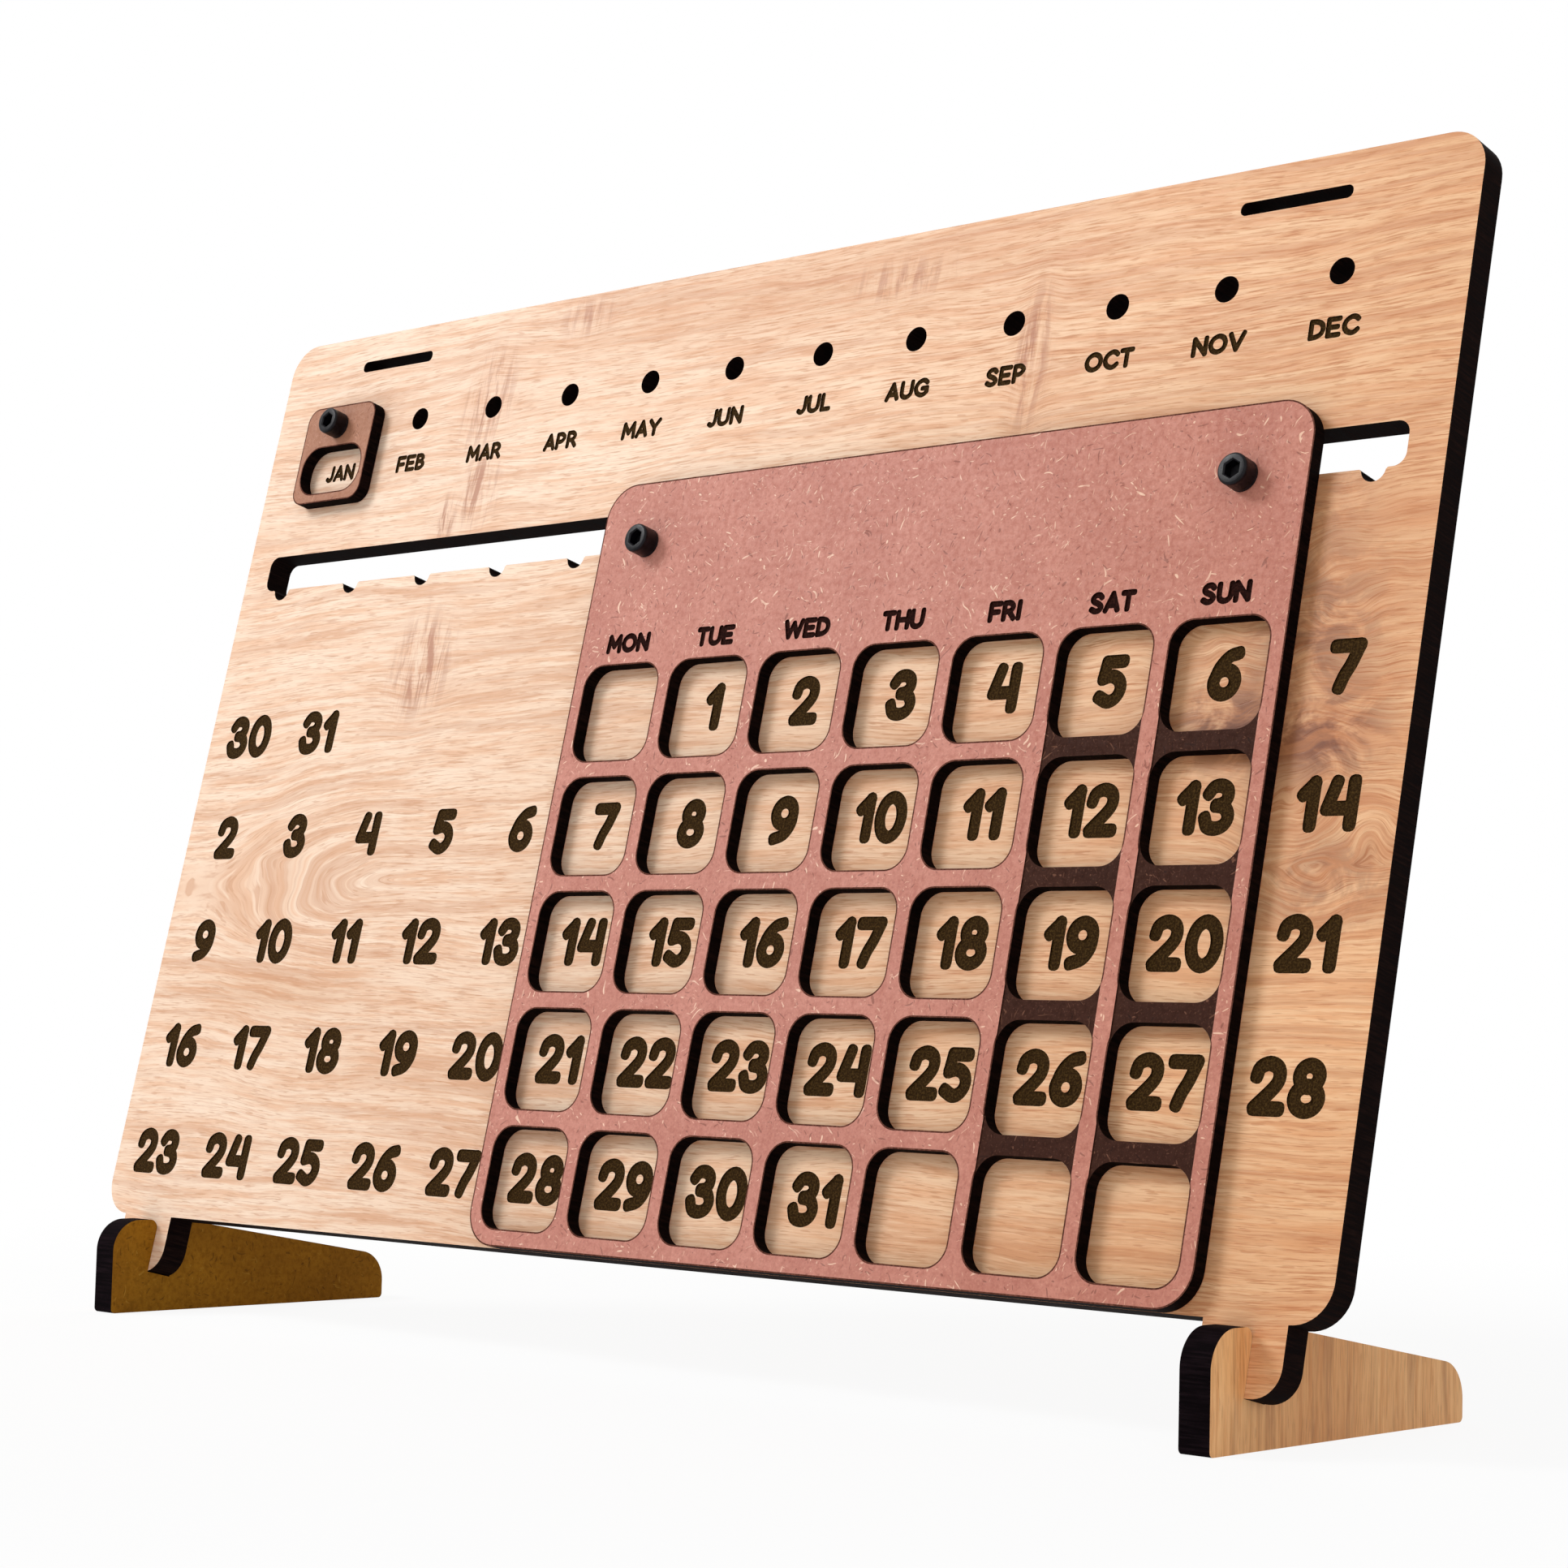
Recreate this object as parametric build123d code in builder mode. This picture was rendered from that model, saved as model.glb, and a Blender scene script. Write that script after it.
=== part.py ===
"""Perpetual desk calendar.

A leaning board stands on two slotted feet. A frame of seven by five windows hangs on two
screws in the long slot of the board and is lifted from notch to notch, so that it shows one
month out of a fixed grid of day numbers. A small tag plugs into one of twelve month holes.

Frame of the part: X to the right, Y away from the reader, Z up, origin on the table under
the middle of the feet. Sketches on the board use the board's own plane: x to the right,
y up the board, origin in the middle of the row of month holes, z out of the front face.
"""
import os
from math import cos, radians, sin, tan

from build123d import *

# Board
BOARD_WIDTH = 322.0
BOARD_SIDE_MARGIN = 1.75     # beside the outer day columns
BOARD_TOP = 23.5             # top edge above the row of month holes
BOARD_THICKNESS = 6.0
BOARD_CORNER_R = 7.5
BOARD_LEAN = 12.8            # degrees back from upright
BOARD_COLUMNS = 13
MONTHS = 12
MONTH_HOLE_D = 5.2

# Slot for the week frame, with one notch under every column
SLOT_DROP = 30.2             # top of the slot below the row of month holes
SLOT_HEIGHT = 8.4
SLOT_END_MARGIN = 7.8        # from the ends of the slot to the sides of the board
SLOT_CORNER_R = 2.5
NOTCH_R = 2.5
NOTCH_LIP = 0.35

# Pair of narrow slots near the top edge, for a hanging strap
STRAP_SLOT_WIDTH = 24.0
STRAP_SLOT_HEIGHT = 2.6
STRAP_SLOT_R = 1.2
STRAP_SLOT_INSET = 38.3      # from the side of the board
STRAP_SLOT_RISE = 15.6       # above the row of month holes

# Tabs that stand in the feet
TAB_WIDTH = 16.4
TAB_LENGTH = 12.3
TAB_CORNER_R = 5.5
TAB_INSET = 15.8             # middle of the tab from the side of the board

# Feet
FOOT_LENGTH = 77.0
FOOT_HEIGHT = 20.0
FOOT_SLOPE = 9.6             # degrees that the top falls towards the rear
FOOT_BREAK_BACK = 2.3        # the top begins to fall this far behind the middle of its slot
FOOT_THICKNESS = 6.0
FOOT_SHIFT = 1.2             # middle of the foot inward from the middle of the tab
FOOT_FRONT_R = 6.6
FOOT_REAR_R = 7.0
FOOT_BASE_R = 1.0
FOOT_MOUTH_R = 1.8
FOOT_SLOT_FIT = 0.05         # on each side of the tab
TAB_SEAT_BACK = 9.4          # front lower edge of the tab behind the front of the foot
TAB_SEAT_HEIGHT = 8.7        # and above the table

# Week frame
WEEKDAYS = 7
WEEK_ROWS = 5
ROW_PITCH = 24.1
WINDOW_BAR = 3.5             # between two windows of a row
WINDOW_HEIGHT = 20.5
WINDOW_R = 4.6
FRAME_DROP = 25.1            # top edge of the frame below the row of month holes
FRAME_HEADER = 40.0         # from the top edge to the first windows
FRAME_SIDE_MARGIN = 3.2
FRAME_FOOT_MARGIN = 3.5
FRAME_THICKNESS = 3.0
FRAME_CORNER_R = 7.5
FRAME_FIRST_COLUMN = 5       # column of the board behind the first window, counted from 0
SLIDE_GAP = 0.2              # in front of the board and behind it

# Month tag
TAG_WIDTH = 23.7
TAG_HEIGHT = 23.9
TAG_THICKNESS = 3.0
TAG_CORNER_R = 3.5
TAG_DROP = 6.7               # middle of the tag below its screw
TAG_WINDOW_WIDTH = 20.6
TAG_WINDOW_HEIGHT = 11.5
TAG_WINDOW_R = 5.1
TAG_WINDOW_DROP = 10.65      # middle of the window below the screw
TAG_MONTH = 0                # month hole that holds the tag, counted from 0

# Socket screws with a small head, large washers and lock nuts
SHANK_D = 4.0
HEAD_D = 6.1
HEAD_HEIGHT = 4.0
SOCKET_FLATS = 3.0
SOCKET_DEPTH = 2.2
SCREW_HOLE_D = 4.2
WEEK_SCREW_LENGTH = 16.0
TAG_SCREW_LENGTH = 8.0
WASHER_D = 12.0
WASHER_BORE = 4.3
WASHER_THICKNESS = 1.0
NUT_FLATS = 7.0
NUT_HEIGHT = 4.6
NUT_BORE = 4.1
SEAT_GAP = 0.3               # under a shank that hangs in a notch or in a month hole

# Grid of columns and rows that the board, the frame and the month holes share
COLUMN_PITCH = (BOARD_WIDTH - 2 * BOARD_SIDE_MARGIN) / BOARD_COLUMNS
WEEK_SPAN = (WEEKDAYS - 1) * COLUMN_PITCH
ROWS_SPAN = (WEEK_ROWS - 1) * ROW_PITCH
WINDOW_WIDTH = COLUMN_PITCH - WINDOW_BAR
FRAME_WIDTH = WEEK_SPAN + WINDOW_WIDTH + 2 * FRAME_SIDE_MARGIN
FRAME_HEIGHT = FRAME_HEADER + ROWS_SPAN + WINDOW_HEIGHT + FRAME_FOOT_MARGIN
FRAME_X = (FRAME_FIRST_COLUMN - (BOARD_COLUMNS - WEEKDAYS) / 2) * COLUMN_PITCH
FRAME_MID_Y = -FRAME_DROP - FRAME_HEIGHT / 2
ROWS_MID_Y = -FRAME_DROP - FRAME_HEADER - (WINDOW_HEIGHT + ROWS_SPAN) / 2

# Board outline: its lower edge is level with that of the week frame
BOARD_BOTTOM = -FRAME_DROP - FRAME_HEIGHT
BOARD_HEIGHT = BOARD_TOP - BOARD_BOTTOM
BOARD_MID_Y = (BOARD_TOP + BOARD_BOTTOM) / 2
SLOT_LENGTH = BOARD_WIDTH - 2 * SLOT_END_MARGIN
SLOT_BOTTOM = -SLOT_DROP - SLOT_HEIGHT
TAB_X = BOARD_WIDTH / 2 - TAB_INSET
TAB_BOTTOM = BOARD_BOTTOM - TAB_LENGTH
STRAP_SLOT_X = BOARD_WIDTH / 2 - STRAP_SLOT_INSET
FOOT_X = TAB_X - FOOT_SHIFT

# Where the screws hang
WEEK_SCREW_Y = SLOT_BOTTOM - NOTCH_R + SEAT_GAP + SHANK_D / 2
TAG_SCREW_Y = -MONTH_HOLE_D / 2 + SEAT_GAP + SHANK_D / 2
TAG_X = (TAG_MONTH - (MONTHS - 1) / 2) * COLUMN_PITCH

# The board leans back about the lower edge of its tabs, which stand in the feet
lean = radians(BOARD_LEAN)
foot_front = -FOOT_LENGTH / 2
foot_rear = FOOT_LENGTH / 2
board_plane = Plane(
    origin=(
        0,
        foot_front + TAB_SEAT_BACK - TAB_BOTTOM * sin(lean),
        TAB_SEAT_HEIGHT - TAB_BOTTOM * cos(lean),
    ),
    x_dir=(1, 0, 0),
    z_dir=(0, -cos(lean), sin(lean)),
)
out_of_board = Axis((0, 0, 0), board_plane.z_dir)


def on_board(x, y, z):
    """Plane parallel to the board's front face with its origin at board coordinates x, y, z."""
    return Plane(
        origin=board_plane.from_local_coords((x, y, z)),
        x_dir=board_plane.x_dir,
        z_dir=board_plane.z_dir,
    )


def save(piece, label):
    """Name a finished piece and write its file."""
    piece.part.label = label
    export_step(piece.part, f"parts/{label}.step")


os.makedirs("parts", exist_ok=True)

# Board: outline with two tabs, notched slot, month holes and strap slots
with BuildPart() as base_panel:
    with BuildSketch(on_board(0, 0, -BOARD_THICKNESS)):
        with Locations((0, BOARD_MID_Y)):
            RectangleRounded(BOARD_WIDTH, BOARD_HEIGHT, BOARD_CORNER_R)
        with Locations((-TAB_X, BOARD_BOTTOM), (TAB_X, BOARD_BOTTOM)):
            RectangleRounded(TAB_WIDTH, 2 * TAB_LENGTH, TAB_CORNER_R)
    extrude(amount=BOARD_THICKNESS)

    with BuildSketch(on_board(0, 0, -BOARD_THICKNESS)):
        with Locations((0, SLOT_BOTTOM + SLOT_HEIGHT / 2)):
            RectangleRounded(SLOT_LENGTH, SLOT_HEIGHT, SLOT_CORNER_R)
        with Locations((0, SLOT_BOTTOM)):
            with GridLocations(COLUMN_PITCH, 0, BOARD_COLUMNS, 1):
                Circle(NOTCH_R)
    extrude(amount=BOARD_THICKNESS, mode=Mode.SUBTRACT)

    # The lips of the notches are eased so that a screw drops in
    lips = base_panel.edges().filter_by(out_of_board).filter_by(
        lambda edge: abs(board_plane.to_local_coords(edge.center()).Y - SLOT_BOTTOM) < NOTCH_LIP
    )
    chamfer(lips, NOTCH_LIP)

    with BuildSketch(on_board(0, 0, -BOARD_THICKNESS)):
        with GridLocations(COLUMN_PITCH, 0, MONTHS, 1):
            Circle(MONTH_HOLE_D / 2)
        with Locations((-STRAP_SLOT_X, STRAP_SLOT_RISE), (STRAP_SLOT_X, STRAP_SLOT_RISE)):
            RectangleRounded(STRAP_SLOT_WIDTH, STRAP_SLOT_HEIGHT, STRAP_SLOT_R)
    extrude(amount=BOARD_THICKNESS, mode=Mode.SUBTRACT)
save(base_panel, "base_panel")

# Feet: a long low outline with a leaning slot that takes the tab of the board
slot_mid = board_plane.from_local_coords(
    (0, TAB_BOTTOM - FOOT_SLOT_FIT + FOOT_HEIGHT, -BOARD_THICKNESS / 2)
)
slot_mouth = slot_mid.Y - (slot_mid.Z - FOOT_HEIGHT) * tan(lean)
foot_break = slot_mouth + FOOT_BREAK_BACK
foot_rear_height = FOOT_HEIGHT - (foot_rear - foot_break) * tan(radians(FOOT_SLOPE))
for side, label in ((-1, "left_foot"), (1, "right_foot")):
    with BuildPart() as foot:
        with BuildSketch(Plane.YZ.offset(side * FOOT_X - FOOT_THICKNESS / 2)) as outline:
            with BuildLine():
                Polyline(
                    (foot_front, 0),
                    (foot_front, FOOT_HEIGHT),
                    (foot_break, FOOT_HEIGHT),
                    (foot_rear, foot_rear_height),
                    (foot_rear, 0),
                    close=True,
                )
            make_face()
            fillet(outline.vertices().group_by(Axis.Y)[0], FOOT_BASE_R)
            front_corner = outline.vertices().sort_by_distance((foot_front, FOOT_HEIGHT))[0]
            fillet(front_corner, FOOT_FRONT_R)
            rear_corner = outline.vertices().sort_by_distance((foot_rear, foot_rear_height))[0]
            fillet(rear_corner, FOOT_REAR_R)
            with Locations((slot_mid.Y, slot_mid.Z)):
                Rectangle(
                    BOARD_THICKNESS + 2 * FOOT_SLOT_FIT,
                    2 * FOOT_HEIGHT,
                    rotation=-BOARD_LEAN,
                    mode=Mode.SUBTRACT,
                )
            mouth = outline.vertices().sort_by_distance((slot_mouth, FOOT_HEIGHT))[:2]
            fillet(mouth, FOOT_MOUTH_R)
        extrude(amount=FOOT_THICKNESS)
    save(foot, label)

# Week frame: a plate with a grid of windows and two screw holes
with BuildPart() as week_frame:
    with BuildSketch(on_board(FRAME_X, 0, SLIDE_GAP)):
        with Locations((0, FRAME_MID_Y)):
            RectangleRounded(FRAME_WIDTH, FRAME_HEIGHT, FRAME_CORNER_R)
        with Locations((0, ROWS_MID_Y)):
            with GridLocations(COLUMN_PITCH, ROW_PITCH, WEEKDAYS, WEEK_ROWS):
                RectangleRounded(WINDOW_WIDTH, WINDOW_HEIGHT, WINDOW_R, mode=Mode.SUBTRACT)
        with Locations((-WEEK_SPAN / 2, WEEK_SCREW_Y), (WEEK_SPAN / 2, WEEK_SCREW_Y)):
            Circle(SCREW_HOLE_D / 2, mode=Mode.SUBTRACT)
    extrude(amount=FRAME_THICKNESS)
save(week_frame, "week_frame")

# Month tag: a small plate with a window that frames one month name
with BuildPart() as month_marker:
    with BuildSketch(on_board(TAG_X, TAG_SCREW_Y, SLIDE_GAP)):
        with Locations((0, -TAG_DROP)):
            RectangleRounded(TAG_WIDTH, TAG_HEIGHT, TAG_CORNER_R)
        with Locations((0, -TAG_WINDOW_DROP)):
            RectangleRounded(
                TAG_WINDOW_WIDTH, TAG_WINDOW_HEIGHT, TAG_WINDOW_R, mode=Mode.SUBTRACT
            )
        Circle(SCREW_HOLE_D / 2, mode=Mode.SUBTRACT)
    extrude(amount=TAG_THICKNESS)
save(month_marker, "month_marker")

# Socket screws: two carry the week frame, one plugs the month tag into the board
week_seat = SLIDE_GAP + FRAME_THICKNESS
tag_seat = SLIDE_GAP + TAG_THICKNESS
left_x = FRAME_X - WEEK_SPAN / 2
right_x = FRAME_X + WEEK_SPAN / 2
for label, x, y, seat, length in (
    ("week_screw_left", left_x, WEEK_SCREW_Y, week_seat, WEEK_SCREW_LENGTH),
    ("week_screw_right", right_x, WEEK_SCREW_Y, week_seat, WEEK_SCREW_LENGTH),
    ("month_screw", TAG_X, TAG_SCREW_Y, tag_seat, TAG_SCREW_LENGTH),
):
    with BuildPart() as screw:
        with BuildSketch(on_board(x, y, seat)):
            Circle(HEAD_D / 2)
        extrude(amount=HEAD_HEIGHT)
        with BuildSketch(on_board(x, y, seat)):
            Circle(SHANK_D / 2)
        extrude(amount=-length)
        with BuildSketch(on_board(x, y, seat + HEAD_HEIGHT)):
            RegularPolygon(SOCKET_FLATS / 2, 6, major_radius=False)
        extrude(amount=-SOCKET_DEPTH, mode=Mode.SUBTRACT)
    save(screw, label)

# Large washers and lock nuts keep the week frame on the board from behind
washer_front = -BOARD_THICKNESS - SLIDE_GAP
nut_front = washer_front - WASHER_THICKNESS
for x, end in ((left_x, "left"), (right_x, "right")):
    with BuildPart() as washer:
        with BuildSketch(on_board(x, WEEK_SCREW_Y, washer_front)):
            Circle(WASHER_D / 2)
            Circle(WASHER_BORE / 2, mode=Mode.SUBTRACT)
        extrude(amount=-WASHER_THICKNESS)
    save(washer, f"week_washer_{end}")

    with BuildPart() as nut:
        with BuildSketch(on_board(x, WEEK_SCREW_Y, nut_front)):
            RegularPolygon(NUT_FLATS / 2, 6, major_radius=False)
            Circle(NUT_BORE / 2, mode=Mode.SUBTRACT)
        extrude(amount=-NUT_HEIGHT)
    save(nut, f"week_nut_{end}")
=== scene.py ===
"""Looks of the perpetual desk calendar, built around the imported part.

The flat sheets (board, week frame, month tag and feet) are rebuilt from their own packed
outlines, with the numbers, names and weekend bands sunk into their faces. The screws, washers
and nuts are rebuilt with threads, knurls and eased edges.
Sheet coordinates are in millimetres: x to the right, y up the sheet, z out of its face.
"""
from math import ceil, cos, pi, radians, sin, tan

import bmesh
import bpy
import numpy as np
from mathutils import Matrix, Vector
from mathutils.geometry import delaunay_2d_cdt


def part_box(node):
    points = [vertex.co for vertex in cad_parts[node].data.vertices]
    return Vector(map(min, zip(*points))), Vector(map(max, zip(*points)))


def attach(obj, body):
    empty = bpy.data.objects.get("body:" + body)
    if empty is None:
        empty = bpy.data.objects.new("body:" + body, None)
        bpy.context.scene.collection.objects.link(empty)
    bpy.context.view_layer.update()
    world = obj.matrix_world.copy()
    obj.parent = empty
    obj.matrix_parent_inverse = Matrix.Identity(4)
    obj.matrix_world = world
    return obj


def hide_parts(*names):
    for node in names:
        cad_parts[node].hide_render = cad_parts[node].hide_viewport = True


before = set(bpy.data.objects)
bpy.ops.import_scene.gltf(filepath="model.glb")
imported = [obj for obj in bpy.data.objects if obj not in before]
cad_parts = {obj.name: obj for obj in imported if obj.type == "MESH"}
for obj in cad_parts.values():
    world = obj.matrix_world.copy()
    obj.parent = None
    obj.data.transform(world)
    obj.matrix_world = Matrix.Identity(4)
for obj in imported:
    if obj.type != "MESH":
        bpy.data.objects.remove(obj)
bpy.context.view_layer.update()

MM = 0.001

# Board, as in the part
LEAN = radians(12.8)
FOOT_FRONT = -38.5
TAB_SEAT_BACK = 9.4
TAB_SEAT_HEIGHT = 8.7
TAB_BOTTOM = -197.8
PITCH = 24.5
COLUMNS = 13
WEEK_ROWS = 5
FRAME_X = 2 * PITCH
WEEK_SCREW_Y = -38.8
TAG_SCREW_Y = -0.3
TAG_X = -5.5 * PITCH
SLIDE_GAP = 0.2
BOARD_THICKNESS = 6.0
FRAME_THICKNESS = 3.0
TAG_THICKNESS = 3.0


class Sheet:
    """Local axes of a flat sheet: origin and three directions, in metres."""

    def __init__(self, origin, across, up, out):
        self.origin = np.array(origin, float) * MM
        self.axes = np.array([across, up, out], float)

    def local(self, points):
        """World points to sheet coordinates in millimetres."""
        return (np.asarray(points, float) - self.origin) @ self.axes.T / MM

    def world(self, points):
        """Sheet coordinates in millimetres to world points."""
        return self.origin + (np.asarray(points, float) * MM) @ self.axes


BOARD = Sheet(
    (
        0,
        FOOT_FRONT + TAB_SEAT_BACK - TAB_BOTTOM * sin(LEAN),
        TAB_SEAT_HEIGHT - TAB_BOTTOM * cos(LEAN),
    ),
    (1, 0, 0),
    (0, sin(LEAN), cos(LEAN)),
    (0, -cos(LEAN), sin(LEAN)),
)
FOOT = Sheet((0, 0, 0), (0, 1, 0), (0, 0, 1), (1, 0, 0))


# -------- lettering
# Each glyph is its width and its strokes for a height of 1. A stroke is a kind and the
# points of its centre line: L straight runs, S a smooth curve, O a closed smooth curve.

def ring(x, y, rx, ry):
    """Eight points round an oval."""
    return [(x + rx * cos(k * pi / 4), y + ry * sin(k * pi / 4)) for k in range(8)]


# Power of the sine and cosine in a stroke's end: 1 is round, less is squarer
CAP_POWER = 0.8
CURVE_STEPS = 4
STEM = ("L", [(.12, .1), (.12, .9)])
GLYPHS = {
    "0": (.775, [("O", ring(.388, .5, .272, .405))]),
    "1": (.46, [("L", [(.125, .68), (.335, .885), (.325, .115)])]),
    "2": (.745, [
        ("S", [(.12, .68), (.17, .83), (.35, .905), (.53, .84), (.585, .68), (.5, .49), (.14, .13)]),
        ("L", [(.14, .115), (.63, .115)])]),
    "3": (.74, [
        ("S", [(.15, .76), (.25, .88), (.42, .895), (.55, .81), (.56, .66), (.46, .56), (.34, .53)]),
        ("S", [(.34, .53), (.52, .49), (.62, .33), (.56, .17), (.39, .1), (.2, .14), (.12, .3)])]),
    "4": (.735, [("L", [(.27, .885), (.12, .41), (.6, .41)]), ("L", [(.625, .885), (.615, .115)])]),
    "5": (.70, [
        ("L", [(.57, .885), (.2, .885), (.155, .56)]),
        ("S", [(.155, .56), (.36, .6), (.53, .51), (.585, .34), (.5, .17), (.33, .1), (.115, .2)])]),
    "6": (.70, [
        ("S", [(.585, .885), (.4, .83), (.22, .64), (.12, .38)]),
        ("O", ring(.35, .345, .235, .235))]),
    "7": (.725, [
        ("L", [(.115, .885), (.605, .885)]),
        ("S", [(.605, .885), (.47, .55), (.35, .33), (.27, .115)])]),
    "8": (.725, [("O", ring(.375, .705, .2, .19)), ("O", ring(.36, .315, .245, .215))]),
    "9": (.715, [
        ("O", ring(.355, .655, .235, .235)),
        ("S", [(.59, .66), (.57, .42), (.42, .21), (.16, .125)])]),
    "A": (.88, [("L", [(.1, .1), (.44, .9), (.78, .1)]), ("L", [(.24, .34), (.64, .34)])]),
    "B": (.8, [
        STEM,
        ("S", [(.12, .9), (.42, .89), (.6, .72), (.42, .54), (.12, .53)]),
        ("S", [(.12, .53), (.46, .52), (.68, .31), (.46, .11), (.12, .1)])]),
    "C": (.92, [
        ("S", [(.82, .76), (.68, .87), (.48, .9), (.22, .76), (.11, .5), (.22, .24), (.48, .1),
               (.68, .13), (.82, .24)])]),
    "D": (.88, [
        STEM,
        ("S", [(.12, .9), (.44, .87), (.68, .74), (.77, .5), (.68, .26), (.44, .13), (.12, .1)])]),
    "E": (.8, [
        STEM, ("L", [(.12, .9), (.68, .9)]), ("L", [(.12, .5), (.6, .5)]),
        ("L", [(.12, .1), (.68, .1)])]),
    "F": (.76, [STEM, ("L", [(.12, .9), (.66, .9)]), ("L", [(.12, .48), (.58, .48)])]),
    "G": (.95, [
        ("S", [(.82, .76), (.68, .87), (.48, .9), (.22, .76), (.11, .5), (.22, .24), (.48, .1),
               (.7, .13), (.85, .26)]),
        ("L", [(.85, .26), (.85, .46), (.55, .46)])]),
    "H": (.88, [STEM, ("L", [(.77, .1), (.77, .9)]), ("L", [(.12, .5), (.77, .5)])]),
    "I": (.24, [STEM]),
    "J": (.62, [("S", [(.52, .9), (.52, .6), (.5, .3), (.4, .14), (.25, .1), (.1, .19)])]),
    "L": (.68, [("L", [(.12, .9), (.12, .1), (.6, .1)])]),
    "M": (1.05, [("L", [(.12, .1), (.17, .9), (.53, .35), (.88, .9), (.93, .1)])]),
    "N": (.9, [("L", [(.12, .1), (.12, .9), (.78, .1), (.78, .9)])]),
    "O": (1.04, [("O", ring(.52, .5, .415, .4))]),
    "P": (.8, [STEM, ("S", [(.12, .9), (.45, .89), (.66, .68), (.45, .46), (.12, .45)])]),
    "R": (.84, [STEM, ("S", [(.12, .9), (.45, .89), (.64, .69), (.45, .48), (.12, .47)]),
                ("L", [(.42, .47), (.72, .1)])]),
    "S": (.78, [
        ("S", [(.64, .77), (.5, .89), (.28, .88), (.14, .73), (.22, .58), (.5, .45), (.66, .29),
               (.55, .13), (.33, .1), (.12, .2)])]),
    "T": (.8, [("L", [(.1, .9), (.7, .9)]), ("L", [(.4, .9), (.4, .1)])]),
    "U": (.88, [
        ("S", [(.12, .9), (.12, .55), (.17, .22), (.44, .09), (.71, .22), (.77, .55), (.77, .9)])]),
    "V": (.95, [("L", [(.1, .9), (.475, .1), (.85, .9)])]),
    "W": (1.28, [("L", [(.1, .9), (.35, .1), (.64, .8), (.93, .1), (1.18, .9)])]),
    "Y": (.9, [("L", [(.1, .9), (.45, .48), (.8, .9)]), ("L", [(.45, .48), (.45, .1)])]),
}


def smooth(points, closed, steps):
    """Points of a curve that passes through the given points."""
    points = [np.array(p, float) for p in points]
    n = len(points)
    if closed:
        padded = [points[-1]] + points + points[:2]
        spans = n
    else:
        padded = [2 * points[0] - points[1]] + points + [2 * points[-1] - points[-2]]
        spans = n - 1
    line = []
    for i in range(spans):
        a, b, c, d = padded[i:i + 4]
        for k in range(steps):
            t = k / steps
            line.append(
                0.5 * (2 * b + (c - a) * t + (2 * a - 5 * b + 4 * c - d) * t * t
                       + (3 * b - a - 3 * c + d) * t ** 3)
            )
    if not closed:
        line.append(points[-1])
    return np.array(line)


def side_steps(line, closed):
    """Unit vectors to the left of a line at each of its points."""
    if closed:
        along = np.roll(line, -1, 0) - np.roll(line, 1, 0)
    else:
        along = np.gradient(line, axis=0)
    along /= np.linalg.norm(along, axis=1)[:, None]
    return np.stack([-along[:, 1], along[:, 0]], 1)


def outlines(kind, points, half, cap_steps):
    """Outlines of a stroke, each as its outer loop and, where closed, its inner loop."""
    if kind == "L":
        found = []
        for a, b in zip(points, points[1:]):
            found += outlines("line", [a, b], half, cap_steps)
        return found
    closed = kind == "O"
    line = np.array(points, float) if kind == "line" else smooth(points, closed, CURVE_STEPS)
    side = side_steps(line, closed) * half
    if closed:
        return [(line - side, line + side)]
    caps = []
    for end, start in ((line[-1], side[-1]), (line[0], -side[0])):
        ahead = np.array([start[1], -start[0]])
        turns = [pi * k / cap_steps for k in range(1, cap_steps)]
        caps.append(np.array([
            end + start * np.sign(cos(t)) * abs(cos(t)) ** CAP_POWER + ahead * sin(t) ** CAP_POWER
            for t in turns
        ]))
    return [(np.concatenate([line + side, caps[0], (line - side)[::-1], caps[1]]),)]


def write(text, x, y, height, half, gap, cap_steps):
    """Outlines in millimetres of a text that is centred on x, y.

    half is half a stroke's width and gap the room between glyphs, both for a height of 1.
    """
    width = sum(GLYPHS[c][0] for c in text) + gap * (len(text) - 1)
    left = -width / 2
    found = []
    for c in text:
        advance, strokes = GLYPHS[c]
        for kind, points in strokes:
            for loops in outlines(kind, points, half, cap_steps):
                found.append([(loop + (left, -0.5)) * height + (x, y) for loop in loops])
        left += advance + gap
    return found


# -------- sheets
SLIVER_AREA = 0.004
LEVEL_SLACK = 0.02
STRIP_PROBE = 0.05
# Points that are tested at once, to save memory
CHUNK = 2000
SHEET_SHARP_ANGLE = radians(28)
# Materials of a sheet in their order. Those of the sunk areas follow, and a strip's is the last
FACE, WALL, BACK, SUNK_WALL = range(4)


def crossings(points, starts, ends):
    """True for each point that an odd number of the edges encloses."""
    inside = np.zeros(len(points), bool)
    for first in range(0, len(points), CHUNK):
        px = points[first:first + CHUNK, 0:1]
        py = points[first:first + CHUNK, 1:2]
        spans = (starts[:, 1] > py) != (ends[:, 1] > py)
        rise = np.where(ends[:, 1] == starts[:, 1], 1, ends[:, 1] - starts[:, 1])
        reach = starts[:, 0] + (py - starts[:, 1]) / rise * (ends[:, 0] - starts[:, 0])
        inside[first:first + CHUNK] = (spans & (px < reach)).sum(1) % 2 == 1
    return inside


def in_loops(points, loops):
    """True for each point that an odd number of the loops encloses."""
    ends = [np.roll(loop, -1, 0) for loop in loops]
    return crossings(points, np.concatenate(loops), np.concatenate(ends))


def in_outline(points, corners, edges):
    """True for each point inside an outline of corners and edges."""
    return crossings(points, corners[[a for a, b in edges]], corners[[b for a, b in edges]])


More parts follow.
